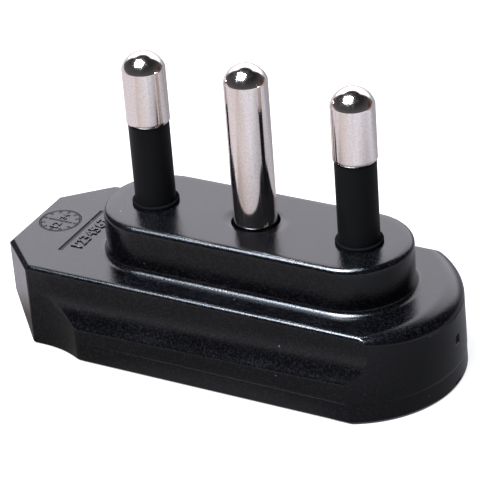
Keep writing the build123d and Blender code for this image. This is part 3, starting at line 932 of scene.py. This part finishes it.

# %% [markdown]
# ## Floor and light
# The plug stands on a white sheet in soft light: a bright wall of paper behind it, which its flat tops
# mirror, and one soft box above, brighter in its middle, which draws the thin lines along the roundings and
# the bright spots at their corners. A small warm spot low at the far right gives the metal some copper.
# The sheet has a painted shadow where the plug covers it, so that the small notch under the round end looks
# into shadow, and what the plug mirrors of it is a painted glow, dim close by and brighter further out.

# %% Floor
sheet = 3.0
floor_mesh = bpy.data.meshes.new("floor")
floor_corners = [(-sheet, -sheet, 0), (sheet, -sheet, 0), (sheet, sheet, 0), (-sheet, sheet, 0)]
floor_mesh.from_pydata(floor_corners, [], [(0, 1, 2, 3)])
floor = in_scene("floor", floor_mesh)
paper, tree, shader = new_material("white_paper", (0.12, 0.12, 0.12), 0.9)
shader.inputs["Specular IOR Level"].default_value = 0.0
floor_x, floor_y = split(tree, place(tree))[:2]

# What the plug's walls mirror is a painted glow: painted shade dim close by, brighter further out, a painted
# brighter band at the plug's foot, dimmer far behind, and lighter past the neck's end.
from_plug = far_out(tree, calc(tree, "MULTIPLY", floor_x, 0.5), floor_y)
left_side = remap(tree, floor_x, 0.013, 0.019, 1.0, 0.0)
at_foot = calc(tree, "MULTIPLY", remap(tree, from_plug, 0.0135, 0.019, 0.48, 0.0), left_side)
painted_glow_near = calc(tree, "MAXIMUM", remap(tree, from_plug, 0.017, 0.05, 0.26, 0.78), at_foot)
painted_glow_near = calc(tree, "MULTIPLY", painted_glow_near, remap(tree, floor_y, 0.028, 0.05, 1.0, 0.5))
left_edge = remap(tree, floor_x, -0.036, -0.0285, 1.0, 0.0)
mirrored = calc(tree, "MAXIMUM", painted_glow_near, calc(tree, "MULTIPLY", left_edge, 0.87))

# What the camera sees: plain white, with a painted shadow where the plug covers the sheet near the notch.
past_centre = calc(tree, "MAXIMUM", calc(tree, "SUBTRACT", floor_x, end_centre * mm), 0.0)
painted_shadow_under_plug = chain(
    tree, "MULTIPLY",
    remap(tree, far_out(tree, past_centre, floor_y), 0.0126, 0.0128, 1.0, 0.0),
    stripe(tree, floor_y, 0.0, 0.0116),
    remap(tree, floor_x, 0.014, 0.015),
)
open_glow = calc(tree, "MULTIPLY", calc(tree, "SUBTRACT", 1.0, painted_shadow_under_plug), 0.86)
seen = tree.nodes.new("ShaderNodeLightPath").outputs["Is Camera Ray"]
glow = add_node(tree, "ShaderNodeMix", {"data_type": "FLOAT"}, i0=seen, i2=mirrored, i3=open_glow).outputs[0]
# Colour of the painted glow that the plug mirrors: warm to the left, bluish to the right, violet past the
# neck.
tinted = mix_colour(tree, remap(tree, floor_x, -0.04, 0.03), (0.9, 0.8, 0.77), (1.1, 1.12, 1.28))
tinted = mix_colour(tree, left_edge, tinted, (0.95, 0.9, 1.0))
dress(
    tree, shader,
    Emission_Strength=glow,
    Base_Color=mix_colour(tree, seen, (0.0, 0.0, 0.0), (0.12, 0.12, 0.12)),
    Emission_Color=mix_colour(tree, seen, tinted, (1.0, 1.0, 1.0)),
)
floor_mesh.materials.append(paper)
print("nodes of the paper:", len(tree.nodes))

# %% Room that is bright behind the plug and dim in front
world = bpy.data.worlds.new("studio")
bpy.context.scene.world = world
world.use_nodes = True
tree = world.node_tree
back_dir, warm_dir = (-0.37, 0.93, 0.0), (0.83, 0.54, 0.13)
direction = tree.nodes.new("ShaderNodeTexCoord").outputs["Generated"]
height = split(tree, direction)[2]


def facing(towards):
    """How squarely each direction of the room points along another one."""
    product = add_node(tree, "ShaderNodeVectorMath", {"operation": "DOT_PRODUCT"}, i0=direction, i1=towards)
    return product.outputs["Value"]


# The length of the direction's level part; a little over one keeps it from nought straight up.
level = calc(tree, "SQRT", calc(tree, "SUBTRACT", 1.0001, calc(tree, "POWER", height, 2.0)))
behind = remap(tree, calc(tree, "DIVIDE", facing(back_dir), level), 0.6, 0.78)
under_top = remap(tree, height, 0.7, 0.82, 1.0, 0.0)
backdrop = chain(tree, "MULTIPLY", behind, remap(tree, height, 0.1, 0.3), under_top, 3.2)
low_behind = chain(tree, "MULTIPLY", behind, under_top, 0.8)
# A low glow along the horizon, and a faint one that fades upwards.
horizon = remap(tree, height, 0.03, 0.08, 0.2, 0.0)
above = remap(tree, height, 0.1, 0.7, 0.1, 0.02)
seen = tree.nodes.new("ShaderNodeLightPath").outputs["Is Camera Ray"]
glow = chain(tree, "MAXIMUM", backdrop, low_behind, horizon, above, seen)
warm_spot = remap(tree, facing(warm_dir), 0.975, 0.99)
tint = mix_colour(tree, warm_spot, (0.97, 0.955, 1.04), (1.0, 0.4, 0.22))
dress(tree, tree.nodes["Background"], Color=mix_colour(tree, seen, tint, (1.0, 1.0, 1.0)), Strength=glow)
print("nodes of the room:", len(tree.nodes))


# %% Soft box above, with its brighter core
def area_light(name, towards, distance, size_x, size_y, power, colour):
    """Area light at a distance in a direction from the plug, facing it."""
    light = bpy.data.lights.new(name, "AREA")
    light.shape, light.size, light.size_y = "RECTANGLE", size_x, size_y
    light.energy, light.color = power, colour
    lamp = in_scene(name, light)
    away = np.array(towards) / np.linalg.norm(towards)
    lamp.location = away * distance
    right = np.cross([0, 1, 0.2], away)
    right = right / np.linalg.norm(right)
    up = np.cross(away, right)
    lamp.rotation_euler = Matrix(np.array([right, up, away]).T.tolist()).to_euler()
    print(name, "faces the plug from", distance, "m")


area_light("soft_box", (-0.14, -0.33, 0.93), 0.6, 0.35, 0.33, 19.0, (0.74, 0.86, 1.0))
area_light("soft_box_core", (-0.15, -0.33, 0.93), 0.59, 0.13, 0.26, 9.0, (0.97, 0.95, 1.0))

# %% [markdown]
# ## The camera
# The photograph was taken from above the front corner with a long lens. A pinhole camera was fitted to the
# pins and edges: its direction, distance, tilt and focal length are the plain numbers below.

# %% Camera
azimuth, elevation, roll = math.radians(30.035), math.radians(29.882), math.radians(-4.552)
distance, focal_pixels, picture_width = 0.288376, 2523.586, 480
target = np.array([-0.002271, 0.0, 0.013221])
level_x, level_y = math.sin(azimuth), -math.cos(azimuth)
back = np.array([level_x * math.cos(elevation), level_y * math.cos(elevation), math.sin(elevation)])
right = np.array([-level_y, level_x, 0.0])
up = np.cross(back, right)
turned_right = math.cos(roll) * right + math.sin(roll) * up
turned_up = -math.sin(roll) * right + math.cos(roll) * up
lens = bpy.data.cameras.new("camera")
lens.sensor_width = 36.0
lens.lens = focal_pixels * lens.sensor_width / picture_width
lens.clip_start, lens.clip_end = 0.01, 20
camera = in_scene("camera", lens)
stance = np.eye(4)
stance[:3, :3] = np.array([turned_right, turned_up, back]).T
stance[:3, 3] = target + distance * back
camera.matrix_world = Matrix(stance.tolist())
bpy.context.scene.camera = camera
bpy.context.scene.view_settings.view_transform = "Standard"
print("lens:", round(lens.lens, 1), "mm")
